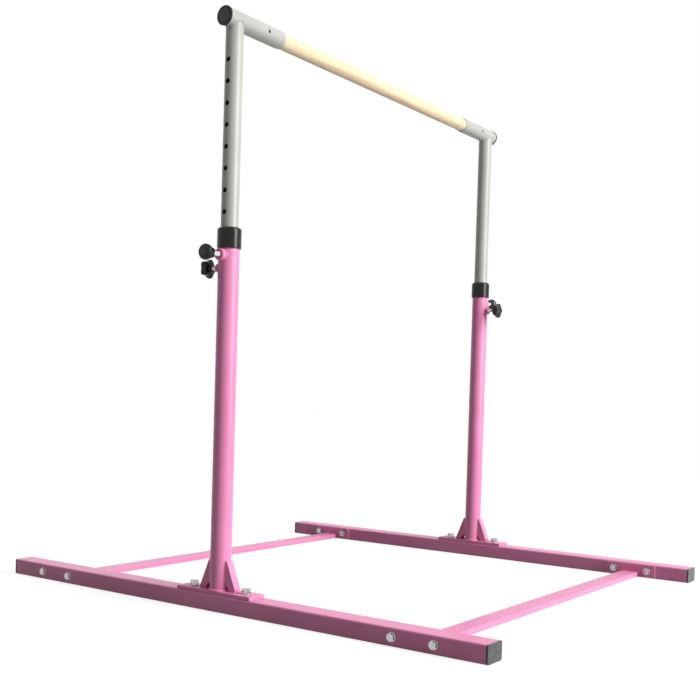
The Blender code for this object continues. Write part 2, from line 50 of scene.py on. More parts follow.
# Lengths are in metres and angles in degrees. The frame gives most outer sizes, and the rest is here.
ROUND = 96
SMALL_ROUND = 48
HOLE_ROUND = 32
SEAT_GAP = 0.0003
FACE_GAP = 0.0001
CUT_LENGTH = 0.05
CUT_HALF = 0.1
SHEET_ROUNDING = 0.0007
MERGE_DISTANCE = 0.00001
BEVEL_ANGLE = 30
SHARP_ANGLE = 38
CORNER_SHARE = 0.45

# Posts, tubes and collars
TUBE_WALL = 0.002
POST_ROUNDING = 0.0006
TUBE_ROUNDING = 0.0004
HOLE_PITCH = 0.050
HOLE_COUNT = 13
PIN_HOLE_INDEX = 9
PIN_HOLE = 0.0122
COLLAR_PLAY = 0.0006
COLLAR_SHELF = 0.011
COLLAR_LIP = 0.0010
COLLAR_CHAMFER = 0.0040
COLLAR_FOOT = 0.0008
COLLAR_ROUNDING = 0.0008

# Weld beads, with the gusset's edges: radius, and how far each path stands off the faces that meet
FOOT_BEAD = 0.0026
FOOT_BEAD_OUT = 0.0010
FOOT_BEAD_RISE = 0.0012
GUSSET_HALF = 0.010
GUSSET_NOTCH_REACH = 0.010
GUSSET_NOTCH_HEIGHT = 0.016
GUSSET_BEAD = 0.0014
GUSSET_BEAD_OUT = 0.0008
GUSSET_BEAD_RISE = 0.0006
GUSSET_BEAD_START = 0.0012
GUSSET_BEAD_STOP = 0.002
CROSS_CORNER = 0.002
CROSS_BEAD = 0.0016
CROSS_BEAD_SUNK = 0.3
BOSS_BEAD = 0.0018
BOSS_BEAD_OUT = 0.0006
SADDLE_BEAD = 0.0015
SADDLE_BEAD_OUT = 0.0004
SADDLE_BEAD_DROP = 0.0003

# Ripples of the beads, as shares of the radius, and how a bead's open ends narrow
BEAD_SIDES = 10
RIPPLE_PITCH = 0.0028
RIPPLE_STEPS = 6
RIPPLE_LOW = 0.92
RIPPLE_SWELL = 0.16
BEAD_TIP = 0.35
BEAD_TIP_STEPS = 5
BEAD_LEAST_STEPS = 8

# Sockets, their set screws and caps, and the wooden bar
SOCKET_WALL = 0.0019
SOCKET_ROUNDING = 0.0010
MOUTH_TAPER = 0.008
MOUTH_LIP = 0.0008
SET_SCREW_HOLE = 0.0088
SET_SCREW_SUNK = 0.0010
SET_SCREW_KEY = 0.0016
SET_SCREW_ROUNDING = 0.0003
CAP_DISH_INSET = 0.0050
CAP_DISH = 0.0012
CAP_DISH_SLOPE = 0.0006
CAP_CHAMFER_IN = 0.0012
CAP_CHAMFER_DOWN = 0.0014
CAP_PLUG_PLAY = 0.0004
CAP_ROUNDING = 0.0006
CAP_DISC_CROWN = 0.0004
CAP_DISC_EDGE = 0.0005
CAP_DISC_INSET = 0.0012
CAP_DISC_FOOT = 0.0008
CAP_DISC_DEPTH = 0.0013
DISC_ROUNDING = 0.0004
WOOD_ROUNDING = 0.002

# Pin bosses, barrels, plungers and round knobs
BOSS_ROOT = 0.012
BOSS_ROUNDING = 0.0012
BARREL_BORE = 0.0186
BARREL_ROUNDING = 0.0007
PIN_DIAMETER = 0.0105
PIN_CHAMFER = 0.0012
PIN_ROUNDING = 0.0003
KNOB_BORE = 0.0095
KNOB_BACK_INSET = 0.0060
KNOB_ROUNDING = 0.0012
KNOB_ROUND = 240
KNOB_DISC_INSET = 0.0078
GRIP_RIBS = 30
GRIP_DEPTH = 0.0005
GRIP_MIDDLE = 0.0085
GRIP_HALF = 0.0045
GRIP_EDGE = 0.0008

# Rows of (distance in from the rim, depth below the face)
BARREL_GROOVE = ((0, 0), (0, 0.006), (0.0008, 0.007), (0.0008, 0.0085), (0, 0.0095))
KNOB_RIM = ((0.0070, 0.0010), (0.0060, 0), (0.0045, 0), (0, 0.0050), (0, 0.0120), (0.0035, 0.0175))

# Rows of (share of the disc's radius, depth below the face)
KNOB_DISC_INNER = ((0, 0), (0.52, 0), (0.56, 0.0007), (0.62, 0.0007))
KNOB_DISC_OUTER = ((0.66, 0.0001), (1, 0.0001), (1, 0.0012), (0, 0.0012))

# Clamp screws, pads and star knobs
CLAMP_HOLE = 0.0108
CLAMP_THREAD_DEPTH = 0.0007
PAD_RADIUS = 0.0042
PAD_ROUNDING = 0.0005
STAR_LOBES = 5
STAR_WAIST = 0.74
STAR_VALLEY_POWER = 0.8
STAR_HEIGHT = 0.020
STAR_REACH = 0.024
STAR_NECK = 0.0090
STAR_ROUNDING = 0.0030
STAR_ROUNDING_STEPS = 6
STAR_ROUND = 180

# Rows of (radius, depth below the face), and of (distance in from the tips, depth below the face)
STAR_DISH = ((0, 0.0022), (0.0060, 0.0022), (0.0070, 0.0008), (0.0120, 0))
STAR_RIM = ((0.0050, 0.0012), (0.0004, 0.0050), (0, 0.0100))

# Rows of (distance in from the tips, height above the back), then the back's inner edge and neck
STAR_BACK_RIM = ((0.0006, 0.0050), (0.0050, 0.0012))
STAR_BACK_EDGE = (0.0130, 0.0004)
STAR_NECK_DROP = 0.0015

# Bolts: width across flats, washer and shank diameters, thread pitch and height of the nut.
# The crown and the chamfer are shares of half the flats, and the depth is a share of the shank.
Size = namedtuple("Size", "flats washer shank pitch nut")
M10 = Size(flats=0.016, washer=0.020, shank=0.010, pitch=0.0015, nut=0.008)
M12 = Size(flats=0.018, washer=0.023, shank=0.012, pitch=0.00175, nut=0.0105)
WASHER_THICK = 0.002
WASHER_PLAY = 0.0003
WASHER_ROUNDING = 0.0005
HEX_CROWN = 0.80
HEX_CHAMFER = 0.94
THREAD_STEPS = 8
THREAD_DEPTH_SHARE = 0.06
THREAD_SHORT = 0.001


def middle(node):
    low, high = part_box(node)
    return (low + high) / 2


def half_size(node):
    low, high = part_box(node)
    return (high - low) / 2


UPRIGHT_X = middle("lower_post_right").x
BAR_Z = middle("wood_bar").z
PIN_Z = middle("pin_knob_right").z
CLAMP_Z = middle("clamp_boss_right").z
POST_RADIUS = half_size("lower_post_right").x
TUBE_RADIUS = half_size("upper_tube_right").x
SOCKET_RADIUS = half_size("bar_socket_right").z
SOCKET_BORE = SOCKET_RADIUS - SOCKET_WALL
FLANGE_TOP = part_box("foot_flange_right")[1].z


def outward(node, axis):
    """Near and far end of a node, measured from the centre of its upright along X or Y."""
    low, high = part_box(node)
    if axis[0]:
        return sorted((abs(low.x) - UPRIGHT_X, abs(high.x) - UPRIGHT_X))
    return sorted((abs(low.y), abs(high.y)))


# Procedural materials

WHITE = (1.0, 1.0, 1.0)
NOISE_LOW, NOISE_HIGH = 0.3, 0.7


def shader_tree(name, metallic=0.0):
    material = bpy.data.materials.new(name)
    material.use_nodes = True
    tree = material.node_tree
    shader = tree.nodes["Principled BSDF"]
    shader.inputs["Metallic"].default_value = metallic
    coords = tree.nodes.new("ShaderNodeTexCoord").outputs["Object"]
    return material, tree, shader, coords


def noise(tree, coords, scale, detail=2.0, stretch=(1, 1, 1)):
    """Noise with this many features a metre, stretched along the world axes."""
    mapping = tree.nodes.new("ShaderNodeMapping")
    mapping.inputs["Scale"].default_value = stretch
    tree.links.new(coords, mapping.inputs["Vector"])
    texture = tree.nodes.new("ShaderNodeTexNoise")
    texture.inputs["Scale"].default_value = scale
    texture.inputs["Detail"].default_value = detail
    tree.links.new(mapping.outputs["Vector"], texture.inputs["Vector"])
    return texture.outputs[0]


def cells(tree, coords, scale):
    """Cells with this many to a metre."""
    texture = tree.nodes.new("ShaderNodeTexVoronoi")
    texture.inputs["Scale"].default_value = scale
    tree.links.new(coords, texture.inputs["Vector"])
    return texture.outputs["Distance"]


def colors(tree, factor, stops):
    """Colour ramp from (position, colour) pairs."""
    ramp = tree.nodes.new("ShaderNodeValToRGB")
    elements = ramp.color_ramp.elements
    while len(elements) < len(stops):
        elements.new(0.5)
    for element, (position, color) in zip(elements, stops):
        element.position = position
        element.color = (*color, 1.0)
    tree.links.new(factor, ramp.inputs["Fac"])
    return ramp.outputs["Color"]


def multiply(tree, amount, first, second):
    mix = tree.nodes.new("ShaderNodeMix")
    mix.data_type = "RGBA"
    mix.blend_type = "MULTIPLY"
    mix.inputs["Factor"].default_value = amount
    tree.links.new(first, mix.inputs["A"])
    tree.links.new(second, mix.inputs["B"])
    return mix.outputs["Result"]


def roughness(tree, shader, factor, low, high):
    spread = tree.nodes.new("ShaderNodeMapRange")
    spread.inputs["From Min"].default_value = NOISE_LOW
    spread.inputs["From Max"].default_value = NOISE_HIGH
    spread.inputs["To Min"].default_value = low
    spread.inputs["To Max"].default_value = high
    tree.links.new(factor, spread.inputs["Value"])
    tree.links.new(spread.outputs["Result"], shader.inputs["Roughness"])


def bump(tree, shader, layers):
    """Stack of (height, distance in metres) bumps on the shader's normal."""
    normal = None
    for height, distance in layers:
        node = tree.nodes.new("ShaderNodeBump")
        node.inputs["Distance"].default_value = distance
        tree.links.new(height, node.inputs["Height"])
        if normal is not None:
            tree.links.new(normal, node.inputs["Normal"])
        normal = node.outputs["Normal"]
    tree.links.new(normal, shader.inputs["Normal"])


def pink_powder_coat():
    """Pink coat with orange peel and slightly uneven colour."""
    material, tree, shader, coords = shader_tree("pink_powder_coat")
    peel = noise(tree, coords, scale=420, detail=2.0)
    fine = noise(tree, coords, scale=2600, detail=1.0)
    broad = noise(tree, coords, scale=9, detail=3.0)
    body = colors(tree, broad, [(0.3, (0.74, 0.225, 0.425)), (0.7, (0.80, 0.265, 0.475))])
    speck = colors(tree, peel, [(0.35, (0.90, 0.90, 0.90)), (0.65, WHITE)])
    tree.links.new(multiply(tree, 0.55, body, speck), shader.inputs["Base Color"])
    roughness(tree, shader, peel, low=0.30, high=0.42)
    bump(tree, shader, [(peel, 0.00016), (fine, 0.00003)])
    shader.inputs["Specular IOR Level"].default_value = 0.32
    shader.inputs["Coat Weight"].default_value = 0.06
    shader.inputs["Coat Roughness"].default_value = 0.15
    return material


def silver_paint():
    """Warm silver paint with fine flakes, whose glints are painted into the colour as pale spots."""
    material, tree, shader, coords = shader_tree("silver_paint", metallic=0.05)
    flake = cells(tree, coords, scale=1800)
    peel = noise(tree, coords, scale=500, detail=2.0)
    broad = noise(tree, coords, scale=7, detail=3.0)
    body = colors(tree, broad, [(0.3, (0.44, 0.44, 0.405)), (0.7, (0.50, 0.50, 0.465))])
    # Painted glints: each flake is white at its centre, as if it caught the light, and fades to a
    # light grey.
    painted_flake_glint = colors(tree, flake, [(0.1, WHITE), (0.7, (0.84, 0.84, 0.84))])
    tree.links.new(multiply(tree, 0.8, body, painted_flake_glint), shader.inputs["Base Color"])
    roughness(tree, shader, peel, low=0.30, high=0.42)
    bump(tree, shader, [(peel, 0.00005), (flake, 0.00002)])
    shader.inputs["Specular IOR Level"].default_value = 0.35
    return material


def plastic(name, dark, light, grain):
    """Moulded plastic between two greys, with this many pebbles to a metre."""
    material, tree, shader, coords = shader_tree(name)
    pebble = cells(tree, coords, scale=grain)
    haze = noise(tree, coords, scale=70, detail=4.0)
    shade = colors(tree, haze, [(0.35, (dark, dark, dark)), (0.7, (light, light, light))])
    tree.links.new(shade, shader.inputs["Base Color"])
    roughness(tree, shader, haze, low=0.16, high=0.26)
    bump(tree, shader, [(pebble, 0.00003)])
    shader.inputs["Specular IOR Level"].default_value = 0.28
    return material


def steel(name, dark, light, low, high):
    """Plated or blackened steel between two colours and two roughness values."""
    material, tree, shader, coords = shader_tree(name, metallic=1.0)
    spangle = noise(tree, coords, scale=260, detail=4.0)
    scratch = noise(tree, coords, scale=3000, detail=2.0)
    shade = colors(tree, spangle, [(0.3, dark), (0.7, light)])
    tree.links.new(shade, shader.inputs["Base Color"])
    roughness(tree, shader, spangle, low, high)
    bump(tree, shader, [(scratch, 0.00002)])
    return material


def beech_wood():
    """Pale beech with fine grain and short darker flecks along the bar."""
    material, tree, shader, coords = shader_tree("beech_wood")
    rings = noise(tree, coords, scale=120, detail=4.0, stretch=(0.035, 1, 1))
    fibre = noise(tree, coords, scale=900, detail=3.0, stretch=(0.03, 1, 1))
    fleck = noise(tree, coords, scale=520, detail=1.0, stretch=(0.16, 1, 1))
    tones = [(0.25, (0.72, 0.54, 0.33)), (0.5, (0.83, 0.67, 0.44)), (0.75, (0.88, 0.74, 0.52))]
    body = colors(tree, rings, tones)
    lines = colors(tree, fibre, [(0.3, (0.80, 0.75, 0.68)), (0.6, WHITE)])
    spots = colors(tree, fleck, [(0.24, (0.66, 0.54, 0.40)), (0.36, WHITE)])
    grained = multiply(tree, 0.6, body, lines)
    tree.links.new(multiply(tree, 0.7, grained, spots), shader.inputs["Base Color"])
    roughness(tree, shader, fibre, low=0.42, high=0.56)
    bump(tree, shader, [(fibre, 0.00012), (rings, 0.0001)])
    return material


# Each finish has its CAD slot and its material.
FINISHES = {
    "pink": ("pink_powder_coat", pink_powder_coat()),
    "silver": ("silver_paint", silver_paint()),
    "black": ("black_plastic", plastic("black_plastic", dark=0.004, light=0.009, grain=1500)),
    "grey": ("black_plastic", plastic("grey_plastic", dark=0.050, light=0.075, grain=900)),
    "zinc": (
        "zinc_steel",
        steel("zinc_steel", (0.36, 0.37, 0.38), (0.58, 0.58, 0.57), low=0.16, high=0.34),
    ),
    "oxide": (
        "zinc_steel",
        steel("black_oxide", (0.03, 0.03, 0.03), (0.06, 0.06, 0.06), low=0.35, high=0.50),
    ),
    "chrome": (
        "chrome_steel",
        steel("chrome_steel", (0.72, 0.72, 0.72), (0.82, 0.82, 0.82), low=0.06, high=0.14),
    ),
    "wood": ("beech_wood", beech_wood()),
}


# Mesh tools

def angles(count):
    return [2 * math.pi * k / count for k in range(count)]


def along(axis, centre):
    """Matrix that turns local +Z to the axis and moves the origin to the centre."""
    turn = Vector(UP).rotation_difference(Vector(axis)).to_matrix().to_4x4()
    return Matrix.Translation(centre) @ turn


def soften(profile, radius, closed=False, steps=4):
    """Profile with a short curve in place of each corner."""
    points = [Vector(point) for point in profile]
    if closed:
        triples = list(zip([points[-1]] + points[:-1], points, points[1:] + points[:1]))
        out = []
    else:
        triples = list(zip(points, points[1:], points[2:]))
        out = [points[0]]
    for before, corner, after in triples:
        back, ahead = before - corner, after - corner
        enter = corner + back.normalized() * min(radius, back.length * CORNER_SHARE)
        leave = corner + ahead.normalized() * min(radius, ahead.length * CORNER_SHARE)
        for step in range(steps + 1):
            t = step / steps
            out.append(enter * (1 - t) ** 2 + corner * 2 * t * (1 - t) + leave * t**2)
    return out if closed else out + [points[-1]]


def revolve(shape, profile, matrix, segments, bend=None, closed=False):
    """Add a turned body to a bmesh; bend changes each (angle, radius, height)."""
    rings = []
    for radius, height in profile:
        if radius == 0:
            rings.append([shape.verts.new(matrix @ Vector((0, 0, height)))])
            continue
        ring = []
        for angle in angles(segments):
            r, h = bend(angle, radius, height) if bend else (radius, height)
            place = Vector((r * math.cos(angle), r * math.sin(angle), h))
            ring.append(shape.verts.new(matrix @ place))
        rings.append(ring)
    pairs = list(zip(rings, rings[1:]))
    if closed:
        pairs.append((rings[-1], rings[0]))
    for first, second in pairs:
        for k in range(segments):
            after = (k + 1) % segments
            corners = [first[k % len(first)], second[k % len(second)]]
            corners += [second[after % len(second)], first[after % len(first)]]
            shape.faces.new(list(dict.fromkeys(corners)))


def smooth(mesh):
    mesh.shade_smooth()
    mesh.set_sharp_from_angle(angle=math.radians(SHARP_ANGLE))


def scene_object(name, data):
    obj = bpy.data.objects.new(name, data)
    bpy.context.scene.collection.objects.link(obj)
    return obj


def mesh_object(name, shape):
    bmesh.ops.recalc_face_normals(shape, faces=shape.faces)
    mesh = bpy.data.meshes.new(name)
    shape.to_mesh(mesh)
    shape.free()
    smooth(mesh)
    return scene_object(name, mesh)


def turned(name, profile, axis, centre, segments=ROUND, bend=None, closed=False):
    shape = bmesh.new()
    revolve(shape, profile, along(axis, centre), segments, bend, closed)
    return mesh_object(name, shape)


def steel_tube(name, node, radius, rounding, x):
    """Upright tube between the ends of its node."""
    low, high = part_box(node)
    inner = radius - TUBE_WALL
    profile = [(radius, high.z), (radius, low.z), (inner, low.z), (inner, high.z)]
    return turned(name, soften(profile, rounding, closed=True), UP, (x, 0, 0), closed=True)


def rod(name, radius, start, end, axis, centre, segments=SMALL_ROUND):
    """Plain round bar, used as a cutter."""
    profile = [(0, start), (radius, start), (radius, end), (0, end)]
    return turned(name, profile, axis, centre, segments)


def carve(obj, cutters):
    for cutter in cutters:
        modifier = obj.modifiers.new("cut", "BOOLEAN")
        modifier.operation = "DIFFERENCE"
        modifier.solver = "EXACT"
        modifier.object = cutter
    graph = bpy.context.evaluated_depsgraph_get()
    mesh = bpy.data.meshes.new_from_object(obj.evaluated_get(graph))
    obj.modifiers.clear()
    obj.data = mesh
    smooth(mesh)
    for cutter in cutters:
        bpy.data.objects.remove(cutter)
    return obj


def dress(obj, body, finish, *nodes):
    """Give a new piece its finish and body, and let it stand for its CAD nodes."""
    slot_name, material = FINISHES[finish]
    obj.data.materials.clear()
    obj.data.materials.append(material)
    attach(obj, body)
    if nodes:
        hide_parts(*nodes)
    return obj


def samples_along(path, closed):
    """(distance, point) pairs at even steps along a path."""
    lengths = [0.0]
    for first, second in zip(path, path[1:]):
        lengths.append(lengths[-1] + (second - first).length)
    count = max(BEAD_LEAST_STEPS, int(lengths[-1] / (RIPPLE_PITCH / RIPPLE_STEPS)))
    samples = []
    piece = 0
    for k in range(count if closed else count + 1):
        s = lengths[-1] * k / count
        while piece < len(path) - 2 and s > lengths[piece + 1]:
            piece += 1
        share = (s - lengths[piece]) / max(lengths[piece + 1] - lengths[piece], 1e-9)
        samples.append((s, path[piece].lerp(path[piece + 1], share)))
    return samples


def bead(name, points, radius, up, body, finish="pink", closed=True):
    """Rippled weld bead along a path of points. Up never lies along the path."""
    path = [Vector(point) for point in points]
    if closed:
        path.append(path[0])
    samples = samples_along(path, closed)
    last = len(samples) - 1
    shape = bmesh.new()
    rings = []
    for k, (s, point) in enumerate(samples):
        ahead = samples[(k + 1) % len(samples)] if closed else samples[min(k + 1, last)]
        behind = samples[k - 1] if closed else samples[max(k - 1, 0)]
        tangent = (ahead[1] - behind[1]).normalized()
        across = Vector(up).cross(tangent).normalized()
        lift = tangent.cross(across)
        swell = RIPPLE_SWELL * abs(math.sin(math.pi * s / RIPPLE_PITCH))
        ripple = radius * (RIPPLE_LOW + swell)
        if not closed:
            fullness = min(1.0, min(k, last - k) / BEAD_TIP_STEPS)
            ripple *= BEAD_TIP + (1 - BEAD_TIP) * fullness
        ring = []
        for angle in angles(BEAD_SIDES):
            offset = across * math.cos(angle) + lift * math.sin(angle)
            ring.append(shape.verts.new(point + ripple * offset))
        rings.append(ring)
    pairs = list(zip(rings, rings[1:]))
    if closed:
        pairs.append((rings[-1], rings[0]))
    else:
        shape.faces.new(rings[0])
        shape.faces.new(rings[-1])
    for first, second in pairs:
        for k in range(BEAD_SIDES):
            after = (k + 1) % BEAD_SIDES
            shape.faces.new([first[k], second[k], second[after], first[after]])
    return dress(mesh_object(name, shape), body, finish)


def hexagon_bend(flats, top, fall):
    """Clips a turned disc to a hexagon whose top corners fall away at 30 degrees."""
    apothem = flats / 2

    def bend(angle, radius, height):
        edge = apothem / math.cos((angle % (math.pi / 3)) - math.pi / 6)
        r = min(radius, edge)
        if abs(height - top) < apothem / 2:
            past = max(0.0, r - HEX_CHAMFER * apothem)
            height = top - fall * past * math.tan(math.pi / 6)
        return r, height

    return bend


def thread_bend(pitch, depth, start, end):
    """Helical ridge on a turned rod, which runs out over the first and last turn."""
    def bend(angle, radius, height):
        turn = height / pitch - angle / (2 * math.pi)
        wave = abs(2 * (turn % 1) - 1)
        ease = min(1.0, (height - start) / pitch, (end - height) / pitch)
        return radius - depth * (1 - wave * max(0.0, ease)), height

    return bend


def thread_profile(radius, pitch, start, end):
    count = int(THREAD_STEPS * (end - start) / pitch)
    rows = [(radius, start + (end - start) * k / count) for k in range(count + 1)]
    return [(0, start)] + rows + [(0, end)]


def bolt(name, size, levels, axis, centre):
    """Hexagon bolt, two washers and a nut, on the levels of head top, clamped face and nut end."""
    head_top, face, nut_end = levels
    head_base = face + WASHER_THICK
    nut_base = nut_end + size.nut
    matrix = along(axis, centre)
    corner = size.flats / math.sqrt(3)
    chamfer = HEX_CHAMFER * size.flats / 2
    radius = size.shank / 2
    shape = bmesh.new()
    head = [
        (0, head_top),
        (HEX_CROWN * size.flats / 2, head_top),
        (chamfer, head_top),
        (corner, head_top),
        (corner, head_base),
        (0, head_base),
    ]
    revolve(shape, head, matrix, SMALL_ROUND, hexagon_bend(size.flats, head_top, 1))
    outer, inner = size.washer / 2, radius + WASHER_PLAY
    for low, high in ((face, head_base), (nut_base, nut_base + WASHER_THICK)):
        ring = [(outer, low), (outer, high), (inner, high), (inner, low)]
        rings = soften(ring, WASHER_ROUNDING, closed=True)
        revolve(shape, rings, matrix, SMALL_ROUND, closed=True)
    shank_top = head_base - FACE_GAP
    shank = [(0, shank_top), (radius, shank_top), (radius, nut_base), (0, nut_base)]
    revolve(shape, shank, matrix, SMALL_ROUND)
    bore = radius + FACE_GAP
    nut = [
        (bore, nut_end),
        (chamfer, nut_end),
        (corner, nut_end),
        (corner, nut_base),
        (bore, nut_base),
    ]
    revolve(shape, nut, matrix, SMALL_ROUND, hexagon_bend(size.flats, nut_end, -1), closed=True)
    end = nut_end + THREAD_SHORT
    thread = thread_profile(radius, size.pitch, end, nut_base)
    twist = thread_bend(size.pitch, THREAD_DEPTH_SHARE * size.shank, end, nut_base)
    revolve(shape, thread, matrix, SMALL_ROUND, twist)
    return dress(mesh_object(name, shape), "floor_frame", "zinc", name)


# Pieces

def soft_edges():
    """The flat-faced CAD nodes keep their shape and get their finish and rounded edges."""
    kept = {
        "pink": ("base_rail", "cross_tube", "cross_plate", "foot_flange", "gusset"),
        "grey": ("rail_cap",),
    }
    for finish, prefixes in kept.items():
        for name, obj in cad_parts.items():
            if not name.startswith(prefixes):
                continue
            obj.data.materials.clear()
            obj.data.materials.append(FINISHES[finish][1])
            weld = obj.modifiers.new("weld", "WELD")
            weld.merge_threshold = MERGE_DISTANCE
            edges = obj.modifiers.new("soft_edges", "BEVEL")
            edges.width = SHEET_ROUNDING
            edges.segments = 3
            edges.limit_method = "ANGLE"
            edges.angle_limit = math.radians(BEVEL_ANGLE)
            edges.harden_normals = True


def lower_post(side, sign):
    """Post with its pin and clamp holes, and the bead round its foot."""
    x = sign * UPRIGHT_X
    post = steel_tube(f"post_{side}", f"lower_post_{side}", POST_RADIUS, POST_ROUNDING, x)
    cutters = [
        rod("cut_pin", PIN_HOLE / 2, 0, CUT_LENGTH, (sign, 0, 0), (x, 0, PIN_Z)),
        rod("cut_clamp", CLAMP_HOLE / 2, 0, CUT_LENGTH, (0, -sign, 0), (x, 0, CLAMP_Z)),
    ]
    dress(carve(post, cutters), "floor_frame", "pink", f"lower_post_{side}")
    reach = POST_RADIUS + FOOT_BEAD_OUT
    z = FLANGE_TOP + FOOT_BEAD_RISE
    path = [(x + reach * math.cos(a), reach * math.sin(a), z) for a in angles(ROUND)]
    bead(f"post_weld_{side}", path, FOOT_BEAD, UP, "floor_frame")


def gusset_welds(side, sign):
    """Beads where each gusset meets the flange and the post."""
    x = sign * UPRIGHT_X
    near, far = x - GUSSET_HALF, x + GUSSET_HALF
    z = FLANGE_TOP + GUSSET_BEAD_RISE
    bottom = FLANGE_TOP + GUSSET_NOTCH_HEIGHT + GUSSET_BEAD_START
    for end, end_sign in ENDS.items():
        low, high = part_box(f"gusset_{side}_{end}")
        tip = end_sign * max(abs(low.y), abs(high.y))
        start = end_sign * (POST_RADIUS + GUSSET_NOTCH_REACH + GUSSET_BEAD_OUT)
        foot = [(near, start, z), (near, tip, z), (far, tip, z), (far, start, z)]
        name = f"gusset_foot_weld_{side}_{end}"
        bead(name, foot, GUSSET_BEAD, UP, "floor_frame", closed=False)
        y = end_sign * math.sqrt(POST_RADIUS**2 - GUSSET_HALF**2)
        for edge, place in (("near", near), ("far", far)):
            line = [(place, y, bottom), (place, y, high.z - GUSSET_BEAD_STOP)]
            name = f"gusset_post_weld_{side}_{end}_{edge}"
            bead(name, line, GUSSET_BEAD, (1, 0, 0), "floor_frame", closed=False)


def cross_weld(side, sign, end):
    """Bead round the end of a cross tube, on its plate."""
    low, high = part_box(f"cross_tube_{end}")
    x = (high.x if sign > 0 else low.x) - sign * CROSS_BEAD * CROSS_BEAD_SUNK
    corners = [
        (low.y + CROSS_CORNER, low.z),
        (high.y - CROSS_CORNER, low.z),
        (high.y, low.z + CROSS_CORNER),
        (high.y, high.z - CROSS_CORNER),
        (high.y - CROSS_CORNER, high.z),
        (low.y + CROSS_CORNER, high.z),
        (low.y, high.z - CROSS_CORNER),
        (low.y, low.z + CROSS_CORNER),
    ]
    loop = [(x, y, z) for y, z in corners]
    bead(f"cross_weld_{side}_{end}", loop, CROSS_BEAD, (1, 0, 0), "floor_frame")


def boss(side, prefix, bore, axis, z):
    """Short boss welded on the post, for the pin or the clamp screw."""
    node = f"{prefix}_{side}"
    centre = (SIDES[side] * UPRIGHT_X, 0, z)
    radius = half_size(node).z
    face = outward(node, axis)[1]
    profile = [(radius, BOSS_ROOT), (radius, face), (bore / 2, face), (bore / 2, BOSS_ROOT)]
    rings = soften(profile, BOSS_ROUNDING, closed=True)
    piece = turned(f"{prefix}_ring_{side}", rings, axis, centre, closed=True)
    seat = rod("cut_seat", POST_RADIUS + SEAT_GAP, -CUT_HALF, CUT_HALF, UP, centre, ROUND)
    dress(carve(piece, [seat]), "floor_frame", "pink", node)
    matrix = along(axis, centre)
    path = []
    for angle in angles(SMALL_ROUND):
        point = matrix @ Vector((radius * math.cos(angle), radius * math.sin(angle), 0))
        across = point.y if axis[0] else point.x - centre[0]
        depth = math.sqrt(POST_RADIUS**2 - across**2)
        path.append(point + Vector(axis) * (depth + BOSS_BEAD_OUT))
    bead(f"{prefix}_weld_{side}", path, BOSS_BEAD, axis, "floor_frame")


def collar(side, x):
    """Plastic bush on the post, with a shelf inside over the post's end."""
    low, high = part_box(f"collar_{side}")
    outer = half_size(f"collar_{side}").x
    guide = TUBE_RADIUS + COLLAR_PLAY
    shoulder = POST_RADIUS + SEAT_GAP
    shelf = high.z - COLLAR_SHELF
    profile = [
        (guide, high.z - COLLAR_LIP),
        (guide + COLLAR_LIP, high.z),
        (outer - COLLAR_CHAMFER, high.z),
        (outer, high.z - COLLAR_CHAMFER),
        (outer, low.z + COLLAR_FOOT),
        (outer - COLLAR_FOOT, low.z),
        (shoulder, low.z),
        (shoulder, shelf),
        (guide, shelf),
    ]
    rings = soften(profile, COLLAR_ROUNDING, closed=True)
    piece = turned(f"bush_{side}", rings, UP, (x, 0, 0), closed=True)
    dress(piece, "floor_frame", "black", f"collar_{side}")


def upper_tube(side, sign):
    """Sliding tube with its row of holes, and the bead where it meets the socket."""
    x = sign * UPRIGHT_X
    tube = steel_tube(f"inner_tube_{side}", f"upper_tube_{side}", TUBE_RADIUS, TUBE_ROUNDING, x)
    radius = SOCKET_RADIUS + SEAT_GAP
    axis, centre = (1, 0, 0), (x, 0, BAR_Z)
    cutters = [rod("cut_saddle", radius, -CUT_HALF, CUT_HALF, axis, centre, ROUND)]
    top_hole = PIN_Z + PIN_HOLE_INDEX * HOLE_PITCH
    for k in range(HOLE_COUNT):
        axis, centre = (sign, 0, 0), (x, 0, top_hole - k * HOLE_PITCH)
        cutters.append(rod("cut_hole", PIN_HOLE / 2, 0, CUT_LENGTH, axis, centre, HOLE_ROUND))
    dress(carve(tube, cutters), "bar_frame", "silver", f"upper_tube_{side}")
    reach = TUBE_RADIUS + SADDLE_BEAD_OUT
    path = []
    for angle in angles(ROUND):
        y = TUBE_RADIUS * math.sin(angle)
        drop = math.sqrt(SOCKET_RADIUS**2 - y**2)
        path.append((x + reach * math.cos(angle), y, BAR_Z - drop - SADDLE_BEAD_DROP))
    bead(f"saddle_weld_{side}", path, SADDLE_BEAD, UP, "bar_frame", "silver")


def bar_socket(side, sign):
    """Socket with a tapered mouth and the hole of its set screw."""
    axis = (sign, 0, 0)
    mouth, outer_end = outward(f"bar_socket_{side}", axis)
    profile = [
        (SOCKET_RADIUS, outer_end),
        (SOCKET_RADIUS, mouth + MOUTH_TAPER),
        (SOCKET_BORE + MOUTH_LIP, mouth),
        (SOCKET_BORE, mouth),
        (SOCKET_BORE, outer_end),
    ]
    rings = soften(profile, SOCKET_ROUNDING, closed=True)
    centre = (sign * UPRIGHT_X, 0, BAR_Z)
    socket = turned(f"socket_{side}", rings, axis, centre, closed=True)
    centre = (middle(f"set_screw_{side}").x, 0, BAR_Z)
    hole = rod("cut_set", SET_SCREW_HOLE / 2, 0, CUT_LENGTH, (0, -1, 0), centre, HOLE_ROUND)
    dress(carve(socket, [hole]), "bar_frame", "silver", f"bar_socket_{side}")


